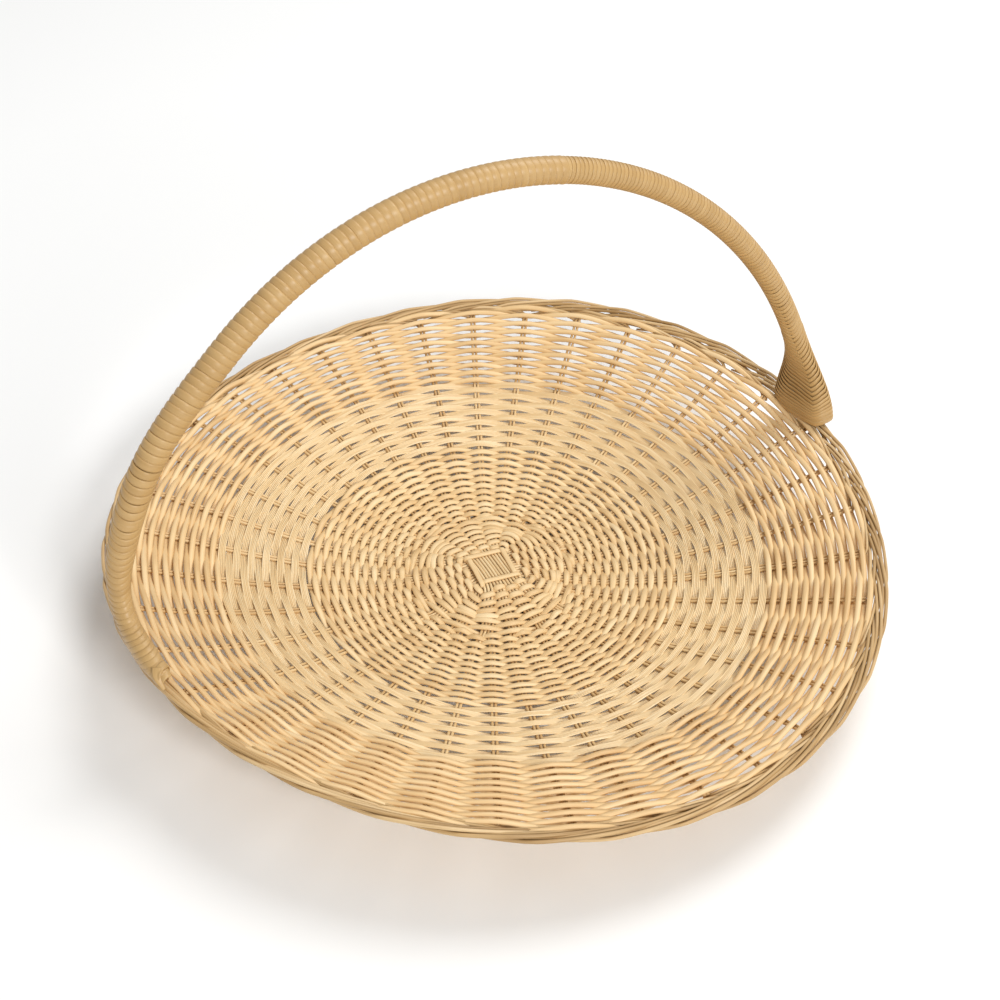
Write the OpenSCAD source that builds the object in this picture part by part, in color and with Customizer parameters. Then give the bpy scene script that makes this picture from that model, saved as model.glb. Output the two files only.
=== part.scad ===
// Round tray basket woven from cane, with a fixed bow handle wrapped in flat peel.
// The origin is on the resting plane, straight under the middle of the rim. +Z is up,
// +Y points to the back. Azimuths are counted anticlockwise from +X, in degrees.

/* [Tray] */
// Radius of the tray, out to the edge of the plaited border
rim_r = 250; // [230:5:280]
// Rise of the dish from its level seat to the mean level of the rim
dish_rise = 53.5; // [45:0.5:65]
// Radius at which the dish starts to rise; the tray rests on the level ring inside it
seat_r = 70; // [66:1:76]
// Height by which the crossed centre stands above the seat
centre_dome = 4; // [3:0.5:6]
// Height by which the rim waves above and below its mean level
rim_wave = 12.5; // [0:0.5:16]
// Azimuth of one of the two high stretches of the rim
wave_az = 54.2; // [30:0.2:80]
// Sideways offset of the woven centre from the middle of the rim
centre_x = -3; // [-6:1:6]
// Offset of the woven centre towards the back
centre_y = 7.5; // [0:0.5:12]

/* [Stakes] */
// Diameter of a base stick or stake
stick_d = 1.7; // [1.5:0.05:1.7]
// Distance between neighbouring sticks that lie side by side
stick_pitch = 2.3; // [2.3:0.05:2.5]
// Azimuth of the lower sticks of the crossed centre
cross_az = 30; // [27:1:34]
// Azimuth of the first stake group
first_az = 9.8; // [5:0.1:15]

/* [Weave] */
// Thickness of a woven band above and again below its stakes
weave_t = 2; // [1.5:0.1:2.2]
// Radius at which the centre band starts
centre_band_r = 22; // [22:0.5:24]
// Radius at which the base band starts and the stake groups divide
base_band_r = 55; // [52:1:58]
// Radius at which the ribbon band starts
ribbon_band_r = 122; // [110:1:130]
// Radius at which the outer band starts
outer_band_r = 179; // [165:1:190]

/* [Border] */
// Width of the plaited border
border_w = 12; // [11:0.5:15]
// Height of the plaited border
border_h = 8; // [7:0.5:9]

/* [Handle] */
// Azimuth of the handle's right foot
handle_az = 32.6; // [20:0.1:45]
// Lean of the bow towards the back
handle_lean = 11.9; // [0:0.1:15]
// Radius of the bow's centre line
bow_r = 251; // [248:0.5:253]
// Depth of the bow's centre below the rim
bow_drop = 32; // [25:0.5:40]
// Outer diameter of the wrapped handle
grip_d = 16.5; // [16:0.1:18]
// Diameter of each of the three rods inside the handle
rod_d = 6.2; // [5.5:0.1:6.4]
// Distance that the front and back rods spread from the middle of a foot
foot_spread = 20; // [19:0.5:24]
// Distance that the rods of the left foot bend forwards along the border
left_shift = 20; // [10:0.5:24]
// Length of the right foot's wrapping
right_foot_len = 62; // [50:1:70]
// Length of the left foot's wrapping
left_foot_len = 80; // [70:1:95]

/* [Hidden] */

// Counts that the weave depends on
side_sticks = 12;                    // sticks each way through the centre
group_sticks = 3;                    // sticks in a group next to the centre
outer_groups = 37;                   // odd, so that one strand alternates from turn to turn
inner_groups = 19;                   // all but the last divide in two further out
right_side_first = inner_groups - 1; // first group on each side of the cross, anticlockwise
back_side_first = 4;
left_side_first = 9;
front_side_first = 13;
corner_groups = [3, 8, 17];          // groups of stakes added at the corners of the cross

// Levels
stick_r = stick_d / 2;
binding_t = 2;                                     // thickness of a binding strand
gap = 0.1;                                         // clearance between touching pieces
lower_drop = stick_d + gap;                        // lower sticks under upper ones
weave_lift = stick_r + 6 * gap;                    // weave from the centre lines of the stakes
seat_z = weave_t + weave_lift;                     // stakes of the seat above the resting plane
centre_z = seat_z + centre_dome;                   // upper sticks above the resting plane
rise_power = 1.4;

// Centre square
bundle_w = side_sticks * stick_pitch;
cross_half = bundle_w / 2 + 1;

// Ties of the feet
tie_w = 12;
tie_t = 1.2;
tie_gap = 0.4;                       // clearance of a tie round the border

// Border
border_drop = 2.5;                   // middle of the border below the ends of the stakes

// Stakes
stake_end_r = rim_r - border_w - tie_t - 2 * tie_gap;
fan_r = 31;                          // radius at which a group has taken its own direction
settle_r = 42;                       // radius at which lower and upper arms lie level
insert_lead = 8;                     // length of an inserted stake inside the centre band
arm_steps = 5;                       // stretches from the seat's edge to the border
stick_sides = 6;

// Rings round the tray
ring_steps = 60;
band_steps = 3;
border_sides = 12;

// Bow
bundle_r = (rod_d + gap) / sqrt(3);  // rods from the centre of the bundle
wrap_t = 1;                          // thickness of the wrapping
grip_r = grip_d / 2;
foot_az = asin(bow_drop / bow_r);    // bow angle at the level of the rim
rod_tail = 5;                        // length of a rod below the rim's level
foot_gap = 8;                        // height at which a foot's wrapping ends over the border
crown_splice = 78;                   // bow angle at which the two windings meet
foot_thin = 0.72;                    // thickness of a foot at its base against the grip
crown_steps = 20;
foot_steps = 10;
rod_sides = 10;
foot_sides = 20;
squareness = 0.5;                    // power that squares a foot's section, 1 is an ellipse

// Evenly spaced values from one limit up to, but not including, the other
function spaced(from, to, steps) = [for (i = [0:steps - 1]) from + (to - from) * i / steps];

// Degrees of arc for a length at a radius
function arc_deg(length, r) = length / r * 180 / PI;

function unit(v) = v / norm(v);

function reversed(list) = [for (i = [len(list) - 1:-1:0]) list[i]];

function smooth(t) = t * t * (3 - 2 * t);

// Height of the stakes' centre lines at a radius and azimuth
function dish_z(r, az) =
    let (
        dome = pow(max(0, 1 - pow(r / base_band_r, 2)), 2),
        out = max(0, r - seat_r) / (rim_r - seat_r)
    )
    seat_z + centre_dome * dome + dish_rise * pow(out, rise_power)
    + rim_wave * pow(out, 4) * cos(2 * (az - wave_az));

// Point on the dish, moved up by lift
function on_dish(r, az, lift = 0) = [
    r * cos(az) + centre_x * (1 - r / rim_r),
    r * sin(az) + centre_y * (1 - r / rim_r),
    dish_z(r, az) + lift
];

// Azimuth of an outer stake group
function stake_az(k) = first_az + 360 / outer_groups * k;

// Azimuth of a group next to the centre, midway between the two that it divides into
function inner_az(j) = j < inner_groups - 1 ? stake_az(2 * j + 0.5) : stake_az(outer_groups - 1);

// Point of an inner group's member at a radius
function inner_point(j, member, r, lift = 0) =
    on_dish(r, inner_az(j) + arc_deg((member - 1) * stick_pitch, r), lift);

// Outer group that a member joins, and its sideways place there
function outer_group(j, member) =
    j < inner_groups - 1 ? 2 * j + (member < 2 ? 0 : 1) : outer_groups - 1;
function outer_place(j, member) =
    j < inner_groups - 1 ? (member % 2 - 0.5) * stick_pitch : (member - 1) * stick_pitch;

// Points of a stake from the edge of the seat, where the groups have divided, to the border
function outer_run(j, member) = [
    for (i = [0:arm_steps])
        let (r = seat_r + (stake_end_r - seat_r) * i / arm_steps)
            on_dish(r, stake_az(outer_group(j, member)) + arc_deg(outer_place(j, member), r))
];

// Points of a whole arm, from just outside the centre square to the border
function arm(j, member, drop = 0) = concat(
    [
        inner_point(j, member, fan_r, -drop),
        inner_point(j, member, settle_r),
        inner_point(j, member, base_band_r)
    ],
    outer_run(j, member)
);

// Group that a stick joins on the side of the cross whose first group is given
function side_group(i, first) = (first + floor(i / group_sticks)) % inner_groups;

// Place of a stick across the bundle
function across(i) = (i - (side_sticks - 1) / 2) * stick_pitch;

// Angle by which a stick turns where it leaves the crossed square
function turn_out(i, az, first) =
    let (
        away = inner_az(side_group(i, first)) - az,
        middle = across(group_sticks * floor(i / group_sticks) + 1)
    )
    atan2(fan_r * sin(away) - middle, fan_r * cos(away) - cross_half);

// How much further out a stick turns than the middle ones. The sticks turn along mitres, so
// that neighbours stay the same distance apart.
function mitre(i, az, first) =
    let (half = side_sticks / 2, inward = i < half ? i + 1 : i - 1)
        i == half || i == half - 1
            ? 0
            : mitre(inward, az, first)
              + (inward - i) * stick_pitch * tan((turn_out(i, az, first) + turn_out(inward, az, first)) / 4);

// Point where a stick leaves the crossed square on the side at an azimuth
function exit_point(i, az, first, drop) =
    let (along = cross_half + mitre(i, az, first))
        [
            centre_x + along * cos(az) - across(i) * sin(az),
            centre_y + along * sin(az) + across(i) * cos(az),
            centre_z - drop
        ];

// Half of a stick, from the edge of the crossed square to the border
function half_stick(i, az, first, drop) = concat(
    [exit_point(i, az, first, drop)],
    arm(side_group(i, first), i % group_sticks, drop / 2)
);

// One stick through the centre
function cross_stick(i, az, near_first, far_first, drop) = concat(
    reversed(half_stick(side_sticks - 1 - i, az + 180, far_first, drop)),
    half_stick(i, az, near_first, drop)
);

// Direction of travel at a point of a path
function heading(path, i) = unit(path[min(i + 1, len(path) - 1)] - path[max(i - 1, 0)]);

// Solid through rings of points that turn anticlockwise about the direction of travel
module loft(rings, closed = false) {
    n = len(rings[0]);
    m = len(rings);
    sides = [
        for (i = [0:m - (closed ? 1 : 2)], k = [0:n - 1])
            let (j = (i + 1) % m, l = (k + 1) % n, a = i * n + k, b = i * n + l, c = j * n + l)
                each [[a, j * n + k, c], [a, c, b]]
    ];
    caps = closed ? [] : [[for (k = [0:n - 1]) k], [for (k = [n - 1:-1:0]) (m - 1) * n + k]];
    polyhedron([for (ring = rings) each ring], concat(sides, caps), convexity = 8);
}

// Round rod along a path; ref is a direction that the path never takes
module rod(path, r, ref = [0, 0, 1], sides = stick_sides) {
    loft([
        for (i = [0:len(path) - 1])
            let (t = heading(path, i), s = unit(cross(ref, t)), u = cross(t, s))
                [for (k = [0:sides - 1]) path[i] + r * (cos(360 * k / sides) * s + sin(360 * k / sides) * u)]
    ]);
}

// Ring of weave through some radii, its underside at a height over the stakes' centre lines
module layer(radii, under) {
    loft([
        for (i = [0:ring_steps - 1])
            let (az = 360 * i / ring_steps)
                concat(
                    [for (r = radii) on_dish(r, az, under + weave_t)],
                    [for (r = reversed(radii)) on_dish(r, az, under)]
                )
    ], closed = true);
}

// The passes of a woven band over the stakes, and those under them
module over(radii) {
    layer(radii, weave_lift);
}

module under(radii) {
    layer(radii, -weave_lift - weave_t);
}

// Radii through a band
function radii(r_in, r_out, steps = band_steps) = concat(spaced(r_in, r_out, steps), [r_out]);

// Outline of the border's section at an azimuth, grown all round by a margin. It runs from
// the top, outwards and down.
function border_ring(az, margin = 0) = [
    for (k = [0:border_sides - 1])
        let (turn = 90 - 360 * k / border_sides)
            on_dish(
                rim_r - border_w / 2 + (border_w / 2 + margin) * cos(turn), az,
                (border_h / 2 + margin) * sin(turn) - border_drop
            )
];

// Frame of the leaning bow: right, up along the lean, and the direction through the bow
bow_right = [cos(handle_az), sin(handle_az), 0];
bow_level = [-sin(handle_az), cos(handle_az), 0];
bow_up = sin(handle_lean) * bow_level + [0, 0, cos(handle_lean)];
bow_normal = cross(bow_up, bow_right);
rim_level = dish_z(rim_r, handle_az);

// Point beside the bow's centre line: out is away from the bow's centre, side is across it
function bow_point(turn, out = 0, side = 0) =
    [0, 0, rim_level] - bow_drop * bow_up
    + (bow_r + out) * (cos(turn) * bow_right + sin(turn) * bow_up)
    + side * bow_normal;

// Length of bow between an angle and the nearer foot
function above_rim(turn) = (min(turn, 180 - turn) - foot_az) * PI / 180 * bow_r;

// Share of the spread of the rods: 0 in the grip, 1 at the rim
function spread(turn) =
    let (foot_len = turn < 90 ? right_foot_len : left_foot_len)
        smooth(min(1, max(0, 1 - above_rim(turn) / foot_len)));

// Angles of the bow from tail to tail, closer together in the feet
tail_az = foot_az - arc_deg(rod_tail, bow_r);
right_foot_top = foot_az + arc_deg(right_foot_len, bow_r);
left_foot_top = 180 - foot_az - arc_deg(left_foot_len, bow_r);
bow_turns = concat(
    spaced(tail_az, right_foot_top, foot_steps),
    spaced(right_foot_top, left_foot_top, crown_steps),
    spaced(left_foot_top, 180 - tail_az, foot_steps),
    [180 - tail_az]
);

// Distance across the bow to the middle of a foot
function foot_middle(turn) = turn < 90 ? 0 : -left_shift;

// Rod of the bow from its place in the bundle to its side of the foot; a rod with a higher
// hold keeps its place towards the outside of the bow for longer
module bow_rod(bundle_angle, foot_side, hold = 1) {
    out = bundle_r * sin(bundle_angle);
    side = bundle_r * cos(bundle_angle);
    rod(
        [
            for (turn = bow_turns)
                let (f = spread(turn), foot = foot_side * foot_spread + foot_middle(turn))
                    bow_point(turn, out * (1 - pow(f, hold)), side * (1 - f) + foot * f)
        ],
        rod_d / 2, ref = bow_normal, sides = rod_sides
    );
}

// Stretch of even wrapping between two bow angles
module wrap(from, to) {
    translate([0, 0, rim_level] - bow_drop * bow_up)
    rotate([0, 0, handle_az])
    rotate([90 - handle_lean, 0, 0])
    rotate_extrude(angle = to - from, start = from, $fn = 180)
    translate([bow_r, 0])
    difference() {
        circle(r = grip_r, $fn = 48);
        circle(r = grip_r - wrap_t, $fn = 48);
    }
}

// Section of a foot at a bow angle, inset from the outside
function foot_ring(turn, inset) =
    let (
        f = spread(turn),
        across = grip_r + (foot_spread + rod_d / 2 + 2 * wrap_t - grip_r) * f - inset,
        thick = grip_r * (1 - (1 - foot_thin) * f) - inset,
        power = 1 - (1 - squareness) * f
    )
    [
        for (k = [0:foot_sides - 1])
            let (a = 360 * k / foot_sides)
                bow_point(
                    turn,
                    thick * sign(cos(a)) * pow(abs(cos(a)), power),
                    across * sign(sin(a)) * pow(abs(sin(a)), power) + foot_middle(turn) * f
                )
    ];

// Hollow wrapping of a foot between two bow angles
module foot_shell(from, to) {
    overrun = (to - from) / foot_steps / 4;
    difference() {
        foot_solid(from, to, 0);
        foot_solid(from - overrun, to + overrun, wrap_t);
    }
}

module foot_solid(from, to, inset) {
    loft([
        for (i = [0:foot_steps])
            foot_ring(from + (to - from) * i / foot_steps, inset)
    ]);
}

// Block that fills a tie's outline, grown all round by a margin
module tie_block(az, half_w, margin) {
    loft([for (t = [-1:1]) border_ring(az + t * arc_deg(half_w, rim_r), margin)]);
}

// Azimuths of the middles of a foot's ties, halfway from its middle rod to the other two
function tie_azimuths(middle) = [for (side = [-1, 1]) middle + side * arc_deg(foot_spread / 2, rim_r)];
right_ties = tie_azimuths(handle_az);
left_ties = tie_azimuths(handle_az + 180 + arc_deg(left_shift, rim_r));

// Bands tied round the border
module ties(middles) {
    for (az = middles)
        difference() {
            tie_block(az, tie_w / 2, tie_t + tie_gap);
            tie_block(az, tie_w, tie_gap);
        }
}

// Room that ties need in the weave
module tie_room(middles) {
    for (az = middles)
        tie_block(az, tie_w / 2 + gap, tie_t + tie_gap + gap);
}

module all_rods() {
    handle_ridge_rod();
    handle_outer_rod();
    handle_inner_rod();
}

module lower_cross_sticks() {
    color("burlywood")
    for (i = [0:side_sticks - 1])
        rod(cross_stick(i, cross_az, right_side_first, left_side_first, lower_drop), stick_r);
}

module upper_cross_sticks() {
    color("wheat")
    for (i = [0:side_sticks - 1])
        rod(cross_stick(i, cross_az + 90, back_side_first, front_side_first, 0), stick_r);
}

// Two rounds of a flat strand: on each side one pass lies over the sticks and one under them
module cross_binding() {
    strand_w = 3.2;
    middle = cross_half - strand_w / 2;
    over_z = centre_z + stick_r + gap + binding_t / 2;
    under_z = centre_z - lower_drop - stick_r - gap - binding_t / 2;
    color("tan")
    translate([centre_x, centre_y, 0])
    rotate(cross_az)
    for (quarter = [0:3])
        rotate(90 * quarter)
        for (z = [under_z, over_z])
            translate([middle, 0, z])
            cube([strand_w, bundle_w - 2 * strand_w, binding_t], center = true);
}

module corner_stakes() {
    color("wheat")
    for (j = corner_groups, member = [0:group_sticks - 1])
        rod(arm(j, member), stick_r);
}

module inserted_stakes() {
    color("burlywood")
    for (j = [0:inner_groups - 2])
        rod(
            concat(
                [
                    inner_point(j, group_sticks, base_band_r - insert_lead),
                    inner_point(j, group_sticks, base_band_r)
                ],
                outer_run(j, group_sticks)
            ),
            stick_r
        );
}

module centre_weave() {
    out = base_band_r - gap;
    color("moccasin") {
        over(radii(centre_band_r, out));
        under(radii(settle_r, out));
    }
}

module base_weave() {
    levels = concat([base_band_r], radii(seat_r, ribbon_band_r - gap));
    color("navajowhite") {
        over(levels);
        under(levels);
    }
}

module ribbon_weave() {
    levels = radii(ribbon_band_r, outer_band_r - gap);
    color("cornsilk") {
        over(levels);
        under(levels);
    }
}

module outer_weave() {
    levels = radii(outer_band_r, rim_r - border_w - gap);
    color("moccasin")
    difference() {
        union() {
            over(levels);
            under(levels);
        }
        tie_room(concat(right_ties, left_ties));
    }
}

module rim_border() {
    color("tan")
    difference() {
        loft([for (i = [0:ring_steps - 1]) border_ring(360 * i / ring_steps)], closed = true);
        all_rods();
    }
}

module handle_ridge_rod() {
    color("peru") bow_rod(180, -1);
}

module handle_outer_rod() {
    color("peru") bow_rod(60, 0, 2);
}

module handle_inner_rod() {
    color("peru") bow_rod(-60, 1);
}

module handle_wrap_right() {
    color("goldenrod") wrap(right_foot_top + gap, crown_splice - gap);
}

module handle_wrap_left() {
    color("darkgoldenrod") wrap(crown_splice, left_foot_top - gap);
}

module right_foot_wrap() {
    color("goldenrod")
    foot_shell(foot_az + arc_deg(foot_gap, bow_r), right_foot_top);
}

module left_foot_wrap() {
    color("darkgoldenrod")
    foot_shell(left_foot_top, 180 - foot_az - arc_deg(foot_gap, bow_r));
}

module right_foot_ties() {
    color("sandybrown") ties(right_ties);
}

module left_foot_ties() {
    color("sandybrown") ties(left_ties);
}

lower_cross_sticks();
upper_cross_sticks();
cross_binding();
corner_stakes();
inserted_stakes();
centre_weave();
base_weave();
ribbon_weave();
outer_weave();
rim_border();
handle_ridge_rod();
handle_outer_rod();
handle_inner_rod();
handle_wrap_right();
handle_wrap_left();
right_foot_wrap();
left_foot_wrap();
right_foot_ties();
left_foot_ties();
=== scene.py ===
"""Round tray basket of woven cane with a wrapped bow handle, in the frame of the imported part."""
import bpy
import numpy as np
from mathutils import Matrix, Vector


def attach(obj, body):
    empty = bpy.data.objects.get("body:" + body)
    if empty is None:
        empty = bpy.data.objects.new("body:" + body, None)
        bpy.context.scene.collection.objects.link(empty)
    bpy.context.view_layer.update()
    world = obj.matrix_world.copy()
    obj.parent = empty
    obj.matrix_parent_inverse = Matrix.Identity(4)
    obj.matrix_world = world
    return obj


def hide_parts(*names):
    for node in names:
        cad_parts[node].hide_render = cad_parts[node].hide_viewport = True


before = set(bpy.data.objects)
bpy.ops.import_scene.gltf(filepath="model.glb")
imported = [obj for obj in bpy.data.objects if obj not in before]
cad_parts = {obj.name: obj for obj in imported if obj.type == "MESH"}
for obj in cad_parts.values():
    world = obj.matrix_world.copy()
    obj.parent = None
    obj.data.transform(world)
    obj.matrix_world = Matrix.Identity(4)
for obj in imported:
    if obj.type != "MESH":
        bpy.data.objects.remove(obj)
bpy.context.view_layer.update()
MM = 0.001
TAU = 2 * np.pi

# Driving dimensions of the part, in mm and degrees
RIM_R, DISH_RISE, RISE_POWER, SEAT_R, CENTRE_DOME = 250.0, 53.5, 1.4, 70.0, 4.0
RIM_WAVE, WAVE_AZ = 12.5, np.radians(54.2)
CENTRE_X, CENTRE_Y = -3.0, 7.5
CROSS_AZ, FIRST_AZ = np.radians(30.0), np.radians(9.8)
GROUPS, INNER_GROUPS, SIDE_STICKS = 37, 19, 12
BASE_R, RIBBON_R, OUTER_R, BORDER_W = 55.0, 122.0, 179.0, 12.0
SEAT_Z = 3.45
CENTRE_Z = SEAT_Z + CENTRE_DOME
PITCH = 2.3
CROSS_HALF, FAN_R, SETTLE_R, STAKE_END_R = 14.8, 31.0, 42.0, 236.0
HANDLE_AZ, HANDLE_LEAN = np.radians(32.6), np.radians(11.9)
BOW_R, BOW_DROP, GRIP_R, ROD_R = 251.0, 32.0, 8.25, 3.1
FOOT_SPREAD, LEFT_SHIFT, RIGHT_FOOT, LEFT_FOOT = 20.0, 20.0, 62.0, 80.0
FOOT_THIN, SQUARENESS = 0.72, 0.5
CROWN_SPLICE, BORDER_DROP = np.radians(78.0), 2.5
STAKE_STEP = TAU / GROUPS

# Thicknesses of the real strands, in mm
STICK_R = 0.95
LOWER_DROP = 2 * STICK_R

rng = np.random.default_rng(7)


# ---------------------------------------------------------------- shape of the dish

def dish_z(r, az):
    dome = np.clip(1 - (r / BASE_R) ** 2, 0, None) ** 2
    out = np.clip(r - SEAT_R, 0, None) / (RIM_R - SEAT_R)
    wave = RIM_WAVE * out ** 4 * np.cos(2 * (az - WAVE_AZ))
    return SEAT_Z + CENTRE_DOME * dome + DISH_RISE * out ** RISE_POWER + wave


def on_dish(r, az, lift=0.0):
    r, az, lift = np.broadcast_arrays(np.asarray(r, float), az, lift)
    inward = 1 - r / RIM_R
    x = r * np.cos(az) + CENTRE_X * inward
    y = r * np.sin(az) + CENTRE_Y * inward
    return np.stack([x, y, dish_z(r, az) + lift], -1)


def dish_normal(r, az):
    d = 0.5
    along_r = on_dish(r + d, az) - on_dish(r - d, az)
    along_az = on_dish(r, az + 0.002) - on_dish(r, az - 0.002)
    return unit(np.cross(along_r, along_az))


def unit(v):
    return v / np.linalg.norm(v, axis=-1, keepdims=True)


def smooth(t):
    t = np.clip(t, 0, 1)
    return t * t * (3 - 2 * t)


def wander(x, amount, scale, seed):
    """Slow random waviness along a coordinate."""
    r = np.random.default_rng(seed)
    out = np.zeros_like(x, dtype=float)
    for k in range(5):
        out += np.sin(x * scale * (0.6 + 0.5 * k) + r.uniform(0, TAU)) / (1 + 0.5 * k)
    return amount * out / 2.2


def through(points, steps=6):
    """Smooth curve through points."""
    p = np.vstack([2 * points[0] - points[1], points, 2 * points[-1] - points[-2]])
    t = np.linspace(0, 1, steps, endpoint=False)[:, None]
    out = []
    for i in range(1, len(p) - 2):
        a, b, c, d = p[i - 1], p[i], p[i + 1], p[i + 2]
        out.append(0.5 * (2 * b + (c - a) * t + (2 * a - 5 * b + 4 * c - d) * t ** 2
                          + (3 * b - a - 3 * c + d) * t ** 3))
    return np.vstack(out + [points[-1:]])


# ---------------------------------------------------------------- strands as meshes

class Strands:
    """Strands of one piece, collected into one mesh."""

    def __init__(self):
        self.verts, self.faces, self.grain, self.tone = [], [], [], []
        self.count = 0

    def add(self, path, half_w, half_h, normal, sides=8, power=1.0, tone=None, offset=0.0):
        """Sweep a rounded section along a path; the normal is the direction of its height."""
        n = len(path)
        t = unit(np.gradient(path, axis=0))
        w = unit(np.cross(normal, t))
        u = np.cross(t, w)
        a = TAU * (np.arange(sides) + 0.5) / sides
        ca = np.sign(np.cos(a)) * np.abs(np.cos(a)) ** power
        sa = np.sign(np.sin(a)) * np.abs(np.sin(a)) ** power
        hw = np.broadcast_to(half_w, (n,))[:, None]
        hh = np.broadcast_to(half_h, (n,))[:, None]
        x, y = hw * ca, hh * sa
        v = path[:, None] + x[..., None] * w[:, None] + y[..., None] * u[:, None]
        length = np.concatenate([[0], np.cumsum(np.linalg.norm(np.diff(path, axis=0), axis=1))])
        along = np.broadcast_to((length + offset)[:, None], x.shape)
        i, k = np.meshgrid(np.arange(n - 1), np.arange(sides), indexing="ij")
        l = (k + 1) % sides
        quads = np.stack([i * sides + k, i * sides + l, (i + 1) * sides + l,
                          (i + 1) * sides + k], -1).reshape(-1, 4) + self.count
        self.verts.append(v.reshape(-1, 3))
        self.faces += quads.tolist()
        self.faces.append([self.count + j for j in range(sides - 1, -1, -1)])
        self.faces.append([self.count + (n - 1) * sides + j for j in range(sides)])
        self.grain.append(np.stack([along, x, y], -1).reshape(-1, 3))
        tone = rng.random() if tone is None else tone
        self.tone.append(np.repeat(np.broadcast_to(tone, (n,)), sides))
        self.count += n * sides

    def piece(self, name, material, slot, *nodes):
        """Make the mesh, which stands for the CAD nodes that are named."""
        mesh = bpy.data.meshes.new(name)
        mesh.from_pydata((np.vstack(self.verts) * MM).tolist(), [], self.faces)
        mesh.polygons.foreach_set("use_smooth", np.ones(len(mesh.polygons), bool))
        grain = mesh.attributes.new("grain", "FLOAT_VECTOR", "POINT")
        grain.data.foreach_set("vector", np.vstack(self.grain).ravel())
        tone = mesh.attributes.new("tone", "FLOAT", "POINT")
        tone.data.foreach_set("value", np.concatenate(self.tone))
        mesh.materials.append(material)
        mesh.update()
        obj = bpy.data.objects.new(name, mesh)
        bpy.context.scene.collection.objects.link(obj)
        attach(obj, "root")
        if nodes:
            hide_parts(*nodes)
        return obj


# ---------------------------------------------------------------- materials

def srgb(r, g, b):
    """Linear colour of an 8-bit one."""
    c = np.array([r, g, b]) / 255
    lin = np.where(c <= 0.04045, c / 12.92, ((c + 0.055) / 1.055) ** 2.4)
    return (*lin.tolist(), 1.0)


def fibre(name, dark, mid, light, roughness=(0.38, 0.6), streak=0.5, blotches=1.0, bump=0.35,
          coat=0.12):
    """Cane: fibres along the strand, slow changes of colour, and a tone per strand, which on the
    sticks also holds painted light near the open cross.
    """
    mat = bpy.data.materials.new(name)
    mat.use_nodes = True
    nodes, links = mat.node_tree.nodes, mat.node_tree.links
    shader = nodes["Principled BSDF"]

    def node(kind, **values):
        n = nodes.new(kind)
        for key, value in values.items():
            setattr(n, key, value)
        return n

    grain = node("ShaderNodeAttribute", attribute_name="grain").outputs["Vector"]
    tone = node("ShaderNodeAttribute", attribute_name="tone").outputs["Fac"]

    def noise(scale, detail, rough=0.55):
        mapping = node("ShaderNodeMapping")
        mapping.inputs["Scale"].default_value = scale
        links.new(grain, mapping.inputs["Vector"])
        tex = node("ShaderNodeTexNoise", noise_dimensions="4D")
        tex.inputs["Scale"].default_value = 1.0
        tex.inputs["Detail"].default_value = detail
        tex.inputs["Roughness"].default_value = rough
        links.new(mapping.outputs["Vector"], tex.inputs["Vector"])
        shift = node("ShaderNodeMath", operation="MULTIPLY")
        links.new(tone, shift.inputs[0])
        shift.inputs[1].default_value = 37.0
        links.new(shift.outputs[0], tex.inputs["W"])
        return tex.outputs["Fac"]

    fine = noise((0.035, 2.6, 2.6), 3.0)
    blotch = noise((0.016, 0.12, 0.12), 3.0)

    def scaled(value, by):
        m = node("ShaderNodeMath", operation="MULTIPLY_ADD")
        links.new(value, m.inputs[0])
        m.inputs[1].default_value = by
        m.inputs[2].default_value = -by / 2
        return m.outputs[0]

    def plus(a, b):
        m = node("ShaderNodeMath", operation="ADD")
        links.new(a, m.inputs[0])
        if isinstance(b, float):
            m.inputs[1].default_value = b
        else:
            links.new(b, m.inputs[1])
        return m.outputs[0]

    mix = plus(plus(plus(scaled(fine, streak), scaled(blotch, blotches)), 0.5),
               scaled(tone, 0.34))
    ramp = node("ShaderNodeValToRGB")
    ramp.color_ramp.elements[0].position = 0.12
    ramp.color_ramp.elements[0].color = dark
    ramp.color_ramp.elements[1].position = 0.9
    ramp.color_ramp.elements[1].color = light
    middle = ramp.color_ramp.elements.new(0.5)
    middle.color = mid
    links.new(mix, ramp.inputs["Fac"])
    links.new(ramp.outputs["Color"], shader.inputs["Base Color"])

    rough = node("ShaderNodeMapRange")
    rough.inputs["To Min"].default_value = roughness[0]
    rough.inputs["To Max"].default_value = roughness[1]
    links.new(blotch, rough.inputs["Value"])
    links.new(rough.outputs["Result"], shader.inputs["Roughness"])
    shader.inputs["Coat Weight"].default_value = coat
    shader.inputs["Coat Roughness"].default_value = 0.3
    shader.inputs["Specular IOR Level"].default_value = 0.4

    relief = node("ShaderNodeBump")
    relief.inputs["Strength"].default_value = bump
    relief.inputs["Distance"].default_value = 0.0003
    links.new(fine, relief.inputs["Height"])
    links.new(relief.outputs["Normal"], shader.inputs["Normal"])
    return mat


CANE = fibre("cane_pale", srgb(202, 160, 102), srgb(232, 199, 147), srgb(248, 226, 184))
CANE_OUT = fibre("cane_outer", srgb(200, 157, 98), srgb(230, 195, 142), srgb(248, 225, 182))
# Partly painted shade: the stakes' colours are darker than the weavers' cane, for where the stakes
# show in the shade between the weavers.
STAKE = fibre("cane_stake", srgb(186, 144, 90), srgb(216, 180, 126), srgb(238, 210, 162))
RIBBON = fibre("cane_ribbon", srgb(210, 170, 112), srgb(236, 206, 156), srgb(252, 234, 198),
               roughness=(0.26, 0.42), coat=0.25)
BORDER = fibre("border_cane", srgb(148, 112, 64), srgb(195, 160, 109), srgb(230, 201, 154))
PEEL = fibre("handle_peel", srgb(158, 122, 70), srgb(190, 154, 100), srgb(214, 182, 128),
             roughness=(0.34, 0.5), streak=0.35, blotches=0.5)
ROD = fibre("handle_rod", srgb(120, 86, 48), srgb(160, 120, 72), srgb(190, 150, 98))


# ---------------------------------------------------------------- sticks and stakes

def stake_az(k):
    """Azimuth of one of the 37 outer stake groups."""
    return FIRST_AZ + STAKE_STEP * k


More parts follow.
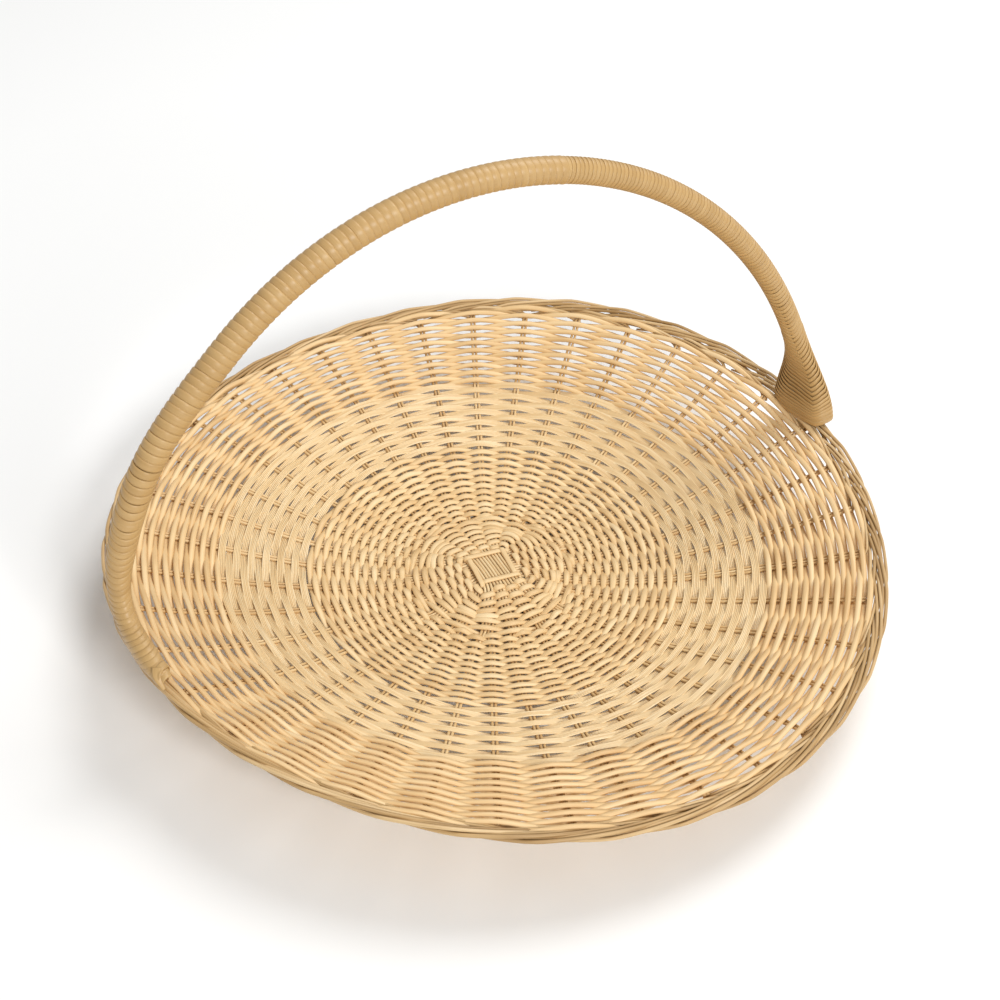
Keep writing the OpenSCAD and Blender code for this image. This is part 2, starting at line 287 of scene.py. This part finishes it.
def inner_az(j):
    """Azimuth of one of the 19 inner groups, each of which divides into two outer ones."""
    return stake_az(2 * j + 0.5) if j < INNER_GROUPS - 1 else stake_az(GROUPS - 1)


def inner_point(j, member, r, lift=0.0):
    return on_dish(r, inner_az(j) + (member - 1) * PITCH / r, lift)


def outer_group(j, member):
    """The outer group that a member of an inner one goes to."""
    return 2 * j + (0 if member < 2 else 1) if j < INNER_GROUPS - 1 else GROUPS - 1


def outer_place(j, member):
    """Place of a member across the outer group that it goes to."""
    return (member % 2 - 0.5) * PITCH if j < INNER_GROUPS - 1 else (member - 1) * PITCH


def outer_run(j, member):
    """Course of a member along its outer group, out to the border."""
    r = np.linspace(SEAT_R, STAKE_END_R, 12)
    return on_dish(r, stake_az(outer_group(j, member)) + outer_place(j, member) / r)


def arm(j, member, drop=0.0):
    """One stick's course from the fan round the cross to the border."""
    inside = [inner_point(j, member, FAN_R, -drop), inner_point(j, member, SETTLE_R),
              inner_point(j, member, BASE_R)]
    return np.vstack([inside, outer_run(j, member)])


def across(i):
    """Place of a stick across its side of the cross."""
    return (i - (SIDE_STICKS - 1) / 2) * PITCH


def turn_out(i, az, first):
    """Angle by which a stick's group turns away from the direction of its side."""
    away = inner_az((first + i // 3) % INNER_GROUPS) - az
    away = (away + np.pi) % TAU - np.pi
    middle = across(3 * (i // 3) + 1)
    return np.arctan2(FAN_R * np.sin(away) - middle, FAN_R * np.cos(away) - CROSS_HALF)


def mitre(i, az, first):
    """How far out a stick bends against the middle two, so that all stay a pitch apart."""
    half = SIDE_STICKS // 2
    if i in (half, half - 1):
        return 0.0
    inward = i + 1 if i < half else i - 1
    both = turn_out(i, az, first) + turn_out(inward, az, first)
    return mitre(inward, az, first) + (inward - i) * PITCH * np.tan(both / 4)


def half_stick(i, az, first, drop):
    """Half of a base stick, from its bend beside the cross to the border."""
    along = CROSS_HALF + mitre(i, az, first)
    out = np.array([CENTRE_X + along * np.cos(az) - across(i) * np.sin(az),
                    CENTRE_Y + along * np.sin(az) + across(i) * np.cos(az), CENTRE_Z - drop])
    return np.vstack([out, arm((first + i // 3) % INNER_GROUPS, i % 3, drop / 2)])


def stick(strands, path):
    path = through(path, 5)
    path = path + rng.normal(0, 0.05, 3)
    # Painted light: the sticks are palest where the cross lies open to the light, and darker
    # further out, where they lie in the shade of the weave
    near = smooth(1.6 - np.hypot(path[:, 0] - CENTRE_X, path[:, 1] - CENTRE_Y) / 30)
    strands.add(path, STICK_R, STICK_R, np.array([0, 0, 1.0]), tone=rng.random() + near)


def cross_sticks(az, near, far, drop):
    s = Strands()
    for i in range(SIDE_STICKS):
        back = half_stick(SIDE_STICKS - 1 - i, az + np.pi, far, drop)[::-1]
        stick(s, np.vstack([back, half_stick(i, az, near, drop)]))
    return s


LOWER_SIDES, UPPER_SIDES, CORNERS = (INNER_GROUPS - 1, 9), (4, 13), (3, 8, 17)
cross_sticks(CROSS_AZ, *LOWER_SIDES, LOWER_DROP).piece(
    "lower_sticks", STAKE, "cane_stake", "lower_cross_sticks")
cross_sticks(CROSS_AZ + np.pi / 2, *UPPER_SIDES, 0.0).piece(
    "upper_sticks", STAKE, "cane_stake", "upper_cross_sticks")

corners = Strands()
for j in CORNERS:
    for member in range(3):
        stick(corners, arm(j, member))
corners.piece("corner_sticks", STAKE, "cane_stake", "corner_stakes")

inserted = Strands()
for j in range(INNER_GROUPS - 1):
    lead = [inner_point(j, 3, BASE_R - 8), inner_point(j, 3, BASE_R)]
    stick(inserted, np.vstack([lead, outer_run(j, 3)]))
inserted.piece("inserted_sticks", STAKE, "cane_stake", "inserted_stakes")


# ---------------------------------------------------------------- binding of the cross

def centre_frame(along, side, z, quarter):
    """Points beside the crossed centre: along is outwards from it, side is across."""
    az = CROSS_AZ + quarter * np.pi / 2
    return np.stack([CENTRE_X + along * np.cos(az) - side * np.sin(az),
                     CENTRE_Y + along * np.sin(az) + side * np.cos(az), z], -1)


binding = Strands()
STRAND_W, STRAND_T = 1.75, 0.8
STRIP_FROM, STRIP_TO = -13.6, 14.2
for quarter in range(4):
    side = np.linspace(STRIP_FROM, STRIP_TO, 29)
    top = STICK_R + STRAND_T
    for over in (1, -1):
        # Each strip dives under the one before it and lies on the one after it
        start, end = smooth((side - STRIP_FROM) / 2.6), smooth((STRIP_TO - side) / 1.8)
        rise = top * end - (top + 0.9) * (1 - start)
        z = CENTRE_Z + rise if over > 0 else CENTRE_Z - LOWER_DROP - rise
        path = centre_frame(CROSS_HALF - 2.5 + 0.1 * side, side, z, quarter)
        binding.add(path, STRAND_W, STRAND_T, np.array([0, 0, 1.0]), sides=12, power=0.85,
                    tone=0.5)
binding.piece("cross_strands", CANE, "cane_pale", "cross_binding")


# ---------------------------------------------------------------- woven bands

def outer_phase(phi, rho):
    """Wave that is 1 over and -1 under the outer groups by turns."""
    return np.cos((phi - FIRST_AZ) / STAKE_STEP * np.pi)


def swerve(j, az, place, rho):
    """How far an inner group lies from its own azimuth where a round of size rho crosses it."""
    away = (inner_az(j) - az + np.pi) % TAU - np.pi
    far = FAN_R * np.cos(away)
    part = np.clip((rho - CROSS_HALF) / (far - CROSS_HALF), 0, 1)
    along = CROSS_HALF + (far - CROSS_HALF) * part
    return np.arctan2(place + (FAN_R * np.sin(away) - place) * part, along) - away


def group_azimuths(rho):
    """Azimuth of every inner group at some sizes of round, and of the first one a turn on."""
    bend = [np.zeros_like(rho)] * INNER_GROUPS
    for quarter, first in enumerate((INNER_GROUPS - 1, 4, 9, 13)):
        for g in range(4):
            j = (first + g) % INNER_GROUPS
            bend[j] = swerve(j, CROSS_AZ + quarter * np.pi / 2, across(3 * g + 1), rho)
    for j in CORNERS:
        bend[j] = (bend[j - 1] + bend[j + 1]) / 2
    az = np.stack([inner_az(j) + bend[j] for j in range(INNER_GROUPS)], 1)
    return np.hstack([az, az[:, :1] + TAU])


def inner_phase(phi, rho):
    """The same wave on the inner groups, which are unevenly spaced near the cross."""
    az = group_azimuths(rho)
    turns, past = np.divmod(phi - az[:, 0], TAU)
    steps = az - az[:, :1]
    last = np.clip((steps <= past[:, None]).sum(1) - 1, 0, INNER_GROUPS - 1)
    row = np.arange(len(rho))
    place = last + (past - steps[row, last]) / (steps[row, last + 1] - steps[row, last])
    return np.cos(np.pi * (place + INNER_GROUPS * turns))


def pointed(c, sharp):
    """Wave that runs straighter between its crests than a cosine."""
    return np.arcsin(sharp * c) / np.arcsin(sharp)


def blunt(c, k):
    """Wave that stays longer on its crests than a cosine."""
    return np.tanh(k * c) / np.tanh(k)


def under_stake(phi):
    """The next azimuth at which a strand of the outer weave lies under a stake."""
    return FIRST_AZ + STAKE_STEP * (2 * np.ceil(((phi - FIRST_AZ) / STAKE_STEP - 1) / 2) + 1)


SQUARE_TO, SQUARE_FADE = 44, 28
BLUNT, BLUNT_TO, BLUNT_FADE = 2.2, 50, 30


def weaver(strands, start, r_in, r_out, pitch, half_w, half_h, seed, phase=outer_phase,
           inner=False, sharp=0.6, swell=0.25, sides=8, per_stake=7, lanes=(0.0,), loose=0.22,
           power=0.9, slack=0.0, tall=0.0):
    """Strand that winds outwards over and under the stakes by turns; returns where it ends.

    It runs from r_in to r_out at a pitch per turn. half_w and half_h are half its breadth and
    thickness, and swell widens it where it lies over a stake. Lanes are the places of strands
    that run side by side, loose is the waviness of the rows, slack moves the crests outwards
    and the troughs inwards, and tall adds to the height of both.
    """
    end = under_stake(start + TAU * (r_out - r_in) / pitch)
    n = int((end - start) / STAKE_STEP * per_stake) + 1
    phi = np.linspace(start, end, n)
    rho = r_in + pitch * (phi - start) / TAU
    c = phase(phi, rho)
    w = pointed(c, sharp)
    r = rho
    if inner:
        # The first rounds lie squarely round the cross and bend over each stick group
        near = np.clip((SQUARE_TO - rho) / SQUARE_FADE, 0, 1)
        w = w + (blunt(c, BLUNT) - w) * np.clip((BLUNT_TO - rho) / BLUNT_FADE, 0, 1)
        m = 2 + 7 * near ** 1.4
        turned = phi - CROSS_AZ
        r = r * (np.abs(np.cos(turned)) ** m + np.abs(np.sin(turned)) ** m) ** (-1 / m)
    r = r + wander(phi, loose, 4.1, seed) + wander(phi, loose * 0.7, 17.3, seed + 1)
    r = r + slack * w
    size = 1 + wander(phi, 0.06, 2.7, seed + 2)
    over = np.clip(w, 0, 1) ** 1.3
    tip = smooth(np.minimum(np.arange(n), np.arange(n)[::-1]) / 6)
    hw = half_w * size * (1 + swell * over) * (0.5 + 0.5 * tip)
    hh = half_h * size * (1 - 0.1 * over) * (0.5 + 0.5 * tip)
    lift = w * (STICK_R + half_h + tall) + wander(phi, 0.08, 9.7, seed + 3)
    for k, lane in enumerate(lanes):
        at = r + lane * (1.06 - 0.09 * over)
        strands.add(on_dish(at, phi, lift), hw, hh, dish_normal(at, phi), sides=sides,
                    power=power, tone=0.5, offset=(seed + 7 * k) * 311.0)
    return end, r_in + pitch * (end - start) / TAU


def next_row(r, pitch, following):
    """Where a strand of another pitch goes on beside the last turn of the one before."""
    return r + (following - pitch) / 2


CENTRE_PITCH, BASE_PITCH, RIBBON_PITCH, OUTER_PITCH = 3.05, 3.05, 4.65, 3.15
WEAVE_FROM, WEAVE_TO = 16.4, RIM_R - 9

centre = Strands()
phi, r = weaver(centre, under_stake(CROSS_AZ + 0.3), WEAVE_FROM, BASE_R, CENTRE_PITCH,
                half_w=1.72, half_h=1.0, seed=11, phase=inner_phase, inner=True, sharp=0.3,
                swell=0.28, loose=0.16)
centre.piece("centre_weaver", CANE, "cane_pale", "centre_weave")

base = Strands()
phi, r = weaver(base, phi, next_row(r, CENTRE_PITCH, BASE_PITCH), RIBBON_R, BASE_PITCH,
                half_w=1.82, half_h=0.95, seed=23, sharp=0.4, swell=0.22, loose=0.18)
base.piece("base_weaver", CANE, "cane_pale", "base_weave")

ribbon = Strands()
LANES = np.linspace(-2, 2, 5) * 0.96
phi, r = weaver(ribbon, phi, next_row(r, BASE_PITCH, RIBBON_PITCH), OUTER_R, RIBBON_PITCH,
                half_w=0.53, half_h=0.45, seed=37, sharp=0.7, swell=0.0, sides=6, per_stake=6,
                lanes=LANES, loose=0.12, power=1.0)
ribbon.piece("ribbon_weaver", RIBBON, "cane_ribbon", "ribbon_weave")

outer = Strands()
weaver(outer, phi, next_row(r, RIBBON_PITCH, OUTER_PITCH), WEAVE_TO, OUTER_PITCH,
       half_w=1.88, half_h=1.35, seed=53, sharp=0.85, swell=0.04, sides=10, per_stake=8,
       loose=0.25, power=1.0, slack=-0.5, tall=0.5)
outer.piece("outer_weaver", CANE_OUT, "cane_pale", "outer_weave")


# ---------------------------------------------------------------- plaited border

# Course of a stake's end in the border: azimuth from its stake in stake spacings, place from
# the border's inner (0) to its outer edge (1), and height within the border
COURSE_OUT = np.array([[-0.02, -0.35], [0.0, -0.1], [0.06, 0.02], [0.3, 0.13], [1.0, 0.35],
                       [1.8, 0.7], [2.5, 1.0], [3.2, 0.92], [4.2, 0.52], [4.9, 0.3]])
COURSE_UP = np.array([[-0.02, -0.54], [0.0, -0.4], [0.08, 0.1], [0.3, 0.42], [0.8, 0.5],
                      [1.0, 0.3], [1.29, -0.4], [1.8, -0.5], [2.3, -0.4], [2.6, -0.1],
                      [3.2, 0.5], [4.3, 0.5], [4.6, 0.0], [4.9, -0.5]])
BORDER_STICK_R = 1.12
BORDER_IN_R, BORDER_BREADTH, BORDER_TALL, BORDER_RAISE = 237.2, 10.4, 4.2, 1


def eased(course, at, width):
    """Values along a course, with its corners rounded over a width."""
    fine = np.linspace(course[0, 0] - 1, course[-1, 0] + 1, 1400)
    value = np.interp(fine, course[:, 0], course[:, 1])
    steps = max(3, int(width / (fine[1] - fine[0])))
    kernel = np.hanning(steps + 2)
    value = np.convolve(np.pad(value, steps, mode="edge"), kernel / kernel.sum(), "same")
    return np.interp(at, fine, value[steps:-steps])


border = Strands()
for k in range(GROUPS):
    at = np.concatenate([np.linspace(-0.02, 0.3, 14, endpoint=False), np.linspace(0.3, 4.9, 58)])
    place = eased(COURSE_OUT, at, 0.22)
    up = eased(COURSE_UP, at, 0.26)
    jitter = rng.normal(0, 0.02)
    az = stake_az(k) + at * STAKE_STEP
    r = BORDER_IN_R + BORDER_BREADTH * (place + jitter * smooth(at))
    path = on_dish(r, az, BORDER_TALL * up - BORDER_DROP + BORDER_RAISE)
    nrm = dish_normal(np.minimum(r, RIM_R - 1), az)
    beside = unit(np.cross(nrm, unit(np.gradient(path, axis=0))))
    for side in (-1, 1):
        gap = 1.13 * BORDER_STICK_R + wander(at, 0.1, 1.3, 400 + 3 * k + side)
        thin_end = 0.55 + 0.45 * smooth((4.95 - at) / 0.3)
        thick = BORDER_STICK_R * (1 + rng.normal(0, 0.04)) * thin_end
        border.add(path + beside * side * gap[:, None], thick, thick, nrm)
border.piece("border_plait", BORDER, "border_cane", "rim_border")


# ---------------------------------------------------------------- bow handle

bow_right = np.array([np.cos(HANDLE_AZ), np.sin(HANDLE_AZ), 0])
bow_level = np.array([-np.sin(HANDLE_AZ), np.cos(HANDLE_AZ), 0])
bow_up = np.sin(HANDLE_LEAN) * bow_level + np.array([0, 0, np.cos(HANDLE_LEAN)])
bow_normal = np.cross(bow_up, bow_right)
rim_level = float(dish_z(np.array(RIM_R), HANDLE_AZ))
foot_az = np.arcsin(BOW_DROP / BOW_R)


def bow_dirs(turn):
    """Directions out from the middle of the bow at some bow angles."""
    turn = np.asarray(turn, float)[..., None]
    return np.cos(turn) * bow_right + np.sin(turn) * bow_up


def bow_point(turn, out=0.0, side=0.0):
    """Points on the bow, or beside it: out is away from its middle, side across its plane."""
    out, side = np.asarray(out, float)[..., None], np.asarray(side, float)[..., None]
    base = np.array([0, 0, rim_level]) - BOW_DROP * bow_up
    return base + (BOW_R + out) * bow_dirs(turn) + side * bow_normal


def bow_turn(above, left):
    """Bow angle at a height above the rim, measured along the bow."""
    turn = foot_az + above / BOW_R
    return np.pi - turn if left else turn


class Rail:
    """Course of one side of the handle, from the crown down to the tip of its foot.

    Rows of the table hold the bow angle, the distances of the middle of the section outwards
    and across, its half sizes outwards, inwards, backwards and forwards, and its roundness.
    """

    def __init__(self, rows, left):
        turn, out, side = rows[:, 0], rows[:, 1], rows[:, 2]
        centre = bow_point(turn, out, side)
        along = unit(np.gradient(centre, axis=0))
        outward = bow_dirs(turn)
        outward = unit(outward - np.sum(outward * along, axis=1)[:, None] * along)
        across_it = np.cross(along, outward) * (1 if left else -1)
        step = np.linalg.norm(np.diff(centre, axis=0), axis=1)
        self.lengths = np.concatenate([[0], np.cumsum(step)])
        self.table = np.hstack([centre, along, outward, across_it, rows[:, 3:]])

    def surface(self, length, angle, inset):
        """Points on the outline, with the centre line and its direction there."""
        row = np.stack([np.interp(length, self.lengths, column) for column in self.table.T], 1)
        centre, along, outward, across_it = row[:, :3], row[:, 3:6], row[:, 6:9], row[:, 9:12]
        c, s = np.cos(angle), np.sin(angle)
        x = (np.where(c > 0, row[:, 12], row[:, 13]) - inset) * np.sign(c) * np.abs(c) ** row[:, 16]
        y = (np.where(s > 0, row[:, 14], row[:, 15]) - inset) * np.sign(s) * np.abs(s) ** row[:, 16]
        return centre + x[:, None] * outward + y[:, None] * across_it, centre, along


PEEL_FROM, LAP_TILT = 0.6, 0.9


def winding(rail, start, end, pitch, half_t, chevron, seed, per_turn=30, inset=0.0, full=0.6,
            ridge_at=-0.75 * np.pi, rounded=False):
    """Flat peel wound round a rail between two lengths, in touching turns.

    The chevron is how far a turn lies further down on the ridge than opposite it.
    """
    strands = Strands()
    turns = (end - start) / pitch
    n = int(turns * per_turn) + 1
    share = np.linspace(0, 1, n)
    angle = TAU * turns * share + PEEL_FROM
    length = start + (end - start) * share + wander(share * turns, 0.05 * pitch, 3.1, seed)
    ridge = np.abs((angle - ridge_at + np.pi) % TAU - np.pi) / np.pi
    length = length + chevron(length) * (0.5 * np.cos(np.pi * ridge) if rounded else 0.5 - ridge)
    path, centre, along = rail.surface(length, angle, half_t + inset)
    ahead, behind = (rail.surface(length, angle + d, half_t + inset)[0] for d in (0.02, -0.02))
    normal = unit(np.cross(ahead - behind, along))
    normal = normal * np.sign(np.sum(normal * (path - centre), axis=1))[:, None]
    normal = unit(normal + LAP_TILT * half_t / pitch * along)
    size = 1 + wander(share * turns, 0.05, 2.3, seed + 5)
    strands.add(path, pitch * full * size, half_t, normal, sides=10, power=0.9, tone=0.5,
                offset=seed * 97.0)
    return strands


def grip(turn):
    """Half thickness of the wrapped bow, a little more on the left than on the right."""
    left_more, right_less = smooth((turn - 1.2) / 1.0), smooth((1.3 - turn) / 0.9)
    return GRIP_R * (1 + 0.05 * left_more) * (1 - 0.07 * right_less)


# Right side: the section spreads into a fan that takes in the border at its base
RIGHT_BASE, RAIL_MARGIN, FAN_INWARD = -2.0, 4, 8
crown_above = (CROWN_SPLICE - foot_az) * BOW_R
turn = bow_turn(np.linspace(crown_above + RAIL_MARGIN, RIGHT_BASE - RAIL_MARGIN, 240), False)
fan = smooth(1 - (turn - foot_az) * BOW_R / RIGHT_FOOT)
wide = grip(turn) + (FOOT_SPREAD + ROD_R + 2 - grip(turn)) * fan
thick = grip(turn) * (1 - (1 - FOOT_THIN) * fan)
right_rows = np.stack([turn, 0 * turn, 0 * turn, thick, thick + FAN_INWARD * fan ** 3, wide, wide,
                       1 - (1 - SQUARENESS) * fan], 1)
right_rail = Rail(right_rows, False)

# Left side: the leg bulges, then bends forwards and runs out along the border
turn = np.linspace(CROWN_SPLICE - 0.02, bow_turn(LEFT_FOOT, True), 200)
above = (np.pi - turn - foot_az) * BOW_R
g = grip(turn)
LEG_BULGE, BULGE_FROM, BULGE_FADE = 6.3, 185, 90
bulge = LEG_BULGE * smooth((BULGE_FROM - above) / BULGE_FADE)
upper = np.stack([turn, bulge, 0 * g, g, g, g, g, 1 + 0 * g], 1)
# height above the rim, outwards, across, half size outwards, half size across
LEFT_COURSE = ((60, 6.0, 0, 8.0, 8.4), (43, 5.4, -0.5, 7.0, 8.2), (29, 3.6, -3, 6.2, 7.8),
               (17, 1.0, -10, 6.0, 7.4), (10, -1.6, -21, 6.2, 7.0), (5, -4.0, -32, 6.2, 6.6),
               (2, -5.8, -41, 5.4, 5.6), (0.5, -7.4, -47, 3.6, 4.4))
lower = np.array([[bow_turn(h, True), out, side, a, a, b, b, 1 - 0.1 * (h < 20)]
                  for h, out, side, a, b in LEFT_COURSE])
lower = through(np.vstack([upper[-1:], lower]), 24)[1:]
left_rows = np.vstack([upper, lower])
left_rail = Rail(left_rows, True)


RIGHT_V, LEFT_SAG = 16, 10


def right_chevron(length):
    """Depth of the turns' V shape, deepest in the fan and shallower at its base."""
    here = right_foot_at - length
    return RIGHT_V * smooth((60 - here) / 70) * (1 - 0.7 * smooth((-here - 42) / 22))


def left_chevron(length):
    """Depth of the turns' sag, which grows towards the foot."""
    return LEFT_SAG * smooth((length - left_foot_at + 70) / 90)


right_foot_at = float(np.interp(-bow_turn(RIGHT_FOOT, False), -right_rows[:, 0],
                                right_rail.lengths))
left_foot_at = float(left_rail.lengths[len(upper) - 1])
right_end, left_end = right_rail.lengths[-1], left_rail.lengths[-1]
LEFT_RIDGE = -1.3       # where a left turn lies furthest down, as an angle on the outline

# Each foot's winding starts a little above the end of the one before it
winding(right_rail, 3, right_foot_at + 2, pitch=2.9, half_t=0.5, chevron=right_chevron, seed=3,
        inset=0.2).piece("right_winding", PEEL, "handle_peel", "handle_wrap_right")
winding(left_rail, 1, left_foot_at + 2.5, pitch=4.6, half_t=0.6, chevron=left_chevron, seed=4,
        ridge_at=LEFT_RIDGE, rounded=True).piece(
    "left_winding", PEEL, "handle_peel", "handle_wrap_left")
winding(right_rail, right_foot_at - 1.5, right_end - RAIL_MARGIN, pitch=3.0, half_t=0.5,
        chevron=right_chevron, seed=5, per_turn=64, full=0.7).piece(
    "right_foot_winding", PEEL, "handle_peel", "right_foot_wrap")
winding(left_rail, left_foot_at - 2, left_end - 2, pitch=4.0, half_t=0.6,
        chevron=left_chevron, seed=6, per_turn=40, ridge_at=LEFT_RIDGE, rounded=True).piece(
    "left_foot_winding", PEEL, "handle_peel", "left_foot_wrap")


TIE_TURNS, TIE_SPAN = 4, 9.6
TIE_INSET, TIE_OUT, TIE_UP = 7.2, 5.6, 4.4


def foot_ties(az):
    """Two short windings of peel round the border, one at each side of a foot."""
    s = Strands()
    for side in (-1, 1):
        middle = az + side * FOOT_SPREAD / 2 / RIM_R
        a = np.linspace(0, TAU * TIE_TURNS, TIE_TURNS * 28)
        slide = (a / TAU / TIE_TURNS - 0.5) * TIE_SPAN / RIM_R
        r = RIM_R - TIE_INSET + TIE_OUT * np.cos(a)
        path = on_dish(r, middle + slide, TIE_UP * np.sin(a) - BORDER_DROP)
        centre_line = on_dish(RIM_R - BORDER_W / 2, middle + slide, -BORDER_DROP)
        s.add(path, 1.4, 0.45, unit(path - centre_line), sides=10, power=0.75, tone=0.5)
    return s


foot_ties(HANDLE_AZ).piece("right_ties", PEEL, "handle_peel", "right_foot_ties")
left_ties = foot_ties(HANDLE_AZ + np.pi + LEFT_SHIFT / RIM_R)

# A last wide turn round the tip of the left foot, and the loose end of the peel
angle = np.linspace(0, TAU, 48)
band, middle, along = left_rail.surface(left_end - 5 + 2.5 * np.cos(angle), angle, -0.2)
left_ties.add(band, 2.6, 0.5, unit(band - middle), sides=10, power=0.8, tone=0.5)
flap_at = np.array([left_end - 6.0, left_end - 3, left_end, left_end + 4])
flap, middle, along = left_rail.surface(flap_at, np.array([-1.2, -0.6, 0.0, 0.4]), -0.6)
flap = through(flap + np.array([0, 0.3, 1.5, 4.5])[:, None] * along, 6)
left_ties.add(flap, np.linspace(3.0, 1.0, len(flap)), 0.4, middle[0] - flap[0], sides=10, tone=0.5)
left_ties.piece("left_ties", PEEL, "handle_peel", "left_foot_ties")

# The three rods nearly touch, with their middles on a circle of this radius, inside the peel
BUNDLE_R = (2 * ROD_R + 0.1) / np.sqrt(3)
ROD_INSET = 1.2


def bow_rod(bundle_angle, foot_side, hold=1):
    """Rod inside the windings, from the base of the right foot to the tip of the left one."""
    out, side = BUNDLE_R * np.sin(bundle_angle), BUNDLE_R * np.cos(bundle_angle)
    right = right_rail.table
    right_side = side * (1 - fan) + foot_side * FOOT_SPREAD * fan
    right_path = (right[:, :3] + (out * (1 - fan ** hold))[:, None] * right[:, 6:9]
                  + right_side[:, None] * right[:, 9:12])
    left = left_rail.table
    shrink = (left[:, 12] - ROD_INSET) / (GRIP_R - ROD_INSET)
    left_path = left[:, :3] + shrink[:, None] * (out * left[:, 6:9] + side * left[:, 9:12])
    path = np.vstack([right_path[::-1], left_path[4:]])
    thick = ROD_R * np.concatenate([0 * fan + 1, shrink[4:]])
    s = Strands()
    s.add(path, thick, thick, np.vstack([right[::-1, 6:9], left[4:, 6:9]]), sides=10, tone=0.5)
    return s


bow_rod(np.pi, -1).piece("ridge_rod", ROD, "handle_rod", "handle_ridge_rod")
bow_rod(np.pi / 3, 0, 2).piece("outer_rod", ROD, "handle_rod", "handle_outer_rod")
bow_rod(-np.pi / 3, 1).piece("inner_rod", ROD, "handle_rod", "handle_inner_rod")


# ---------------------------------------------------------------- floor, light and camera

floor_mesh = bpy.data.meshes.new("floor")
FLOOR_HALF, FLOOR_Z = 6.0, -0.0002
SQUARE = ((-1, -1), (1, -1), (1, 1), (-1, 1))
floor_mesh.from_pydata([(x * FLOOR_HALF, y * FLOOR_HALF, 0) for x, y in SQUARE], [],
                       [(0, 1, 2, 3)])
floor = bpy.data.objects.new("floor", floor_mesh)
bpy.context.scene.collection.objects.link(floor)
floor.location.z = FLOOR_Z
white = bpy.data.materials.new("white_table")
white.use_nodes = True
paint = white.node_tree.nodes["Principled BSDF"]
paint.inputs["Base Color"].default_value = (0.94, 0.94, 0.93, 1)
paint.inputs["Roughness"].default_value = 0.9
floor_mesh.materials.append(white)

world = bpy.data.worlds.new("studio")
world.use_nodes = True
background = world.node_tree.nodes["Background"]
background.inputs["Color"].default_value = (1, 1, 1, 1)
background.inputs["Strength"].default_value = 0.46
bpy.context.scene.world = world


def lamp(name, at, size, power, aim=(0, 0, 0.05)):
    light = bpy.data.lights.new(name, "AREA")
    light.shape = "DISK"
    light.size = size
    light.energy = power
    obj = bpy.data.objects.new(name, light)
    obj.location = at
    obj.rotation_euler = (Vector(aim) - Vector(at)).to_track_quat("-Z", "Y").to_euler()
    bpy.context.scene.collection.objects.link(obj)


lamp("key", (1.6, -2.6, 2.1), 1.0, 78)
lamp("top", (0.7, 1.0, 2.4), 1.4, 34)

camera_data = bpy.data.cameras.new("camera")
camera_data.sensor_width, camera_data.lens = 36, 56.56
camera = bpy.data.objects.new("camera", camera_data)
bpy.context.scene.collection.objects.link(camera)
DOWN, ROLL = np.radians(41.405), np.radians(3.743)
CAMERA_AT = (-0.00053, -0.74751, 0.73361)
look = np.array([0, np.cos(DOWN), -np.sin(DOWN)])
right0, up0 = np.array([1.0, 0, 0]), np.array([0, np.sin(DOWN), np.cos(DOWN)])
right1 = np.cos(ROLL) * right0 + np.sin(ROLL) * up0
up1 = -np.sin(ROLL) * right0 + np.cos(ROLL) * up0
turned = np.eye(4)
turned[:3, :3] = np.column_stack([right1, up1, -look])
turned[:3, 3] = CAMERA_AT
camera.matrix_world = Matrix(turned.tolist())
bpy.context.scene.camera = camera
bpy.context.scene.view_settings.view_transform = "Standard"
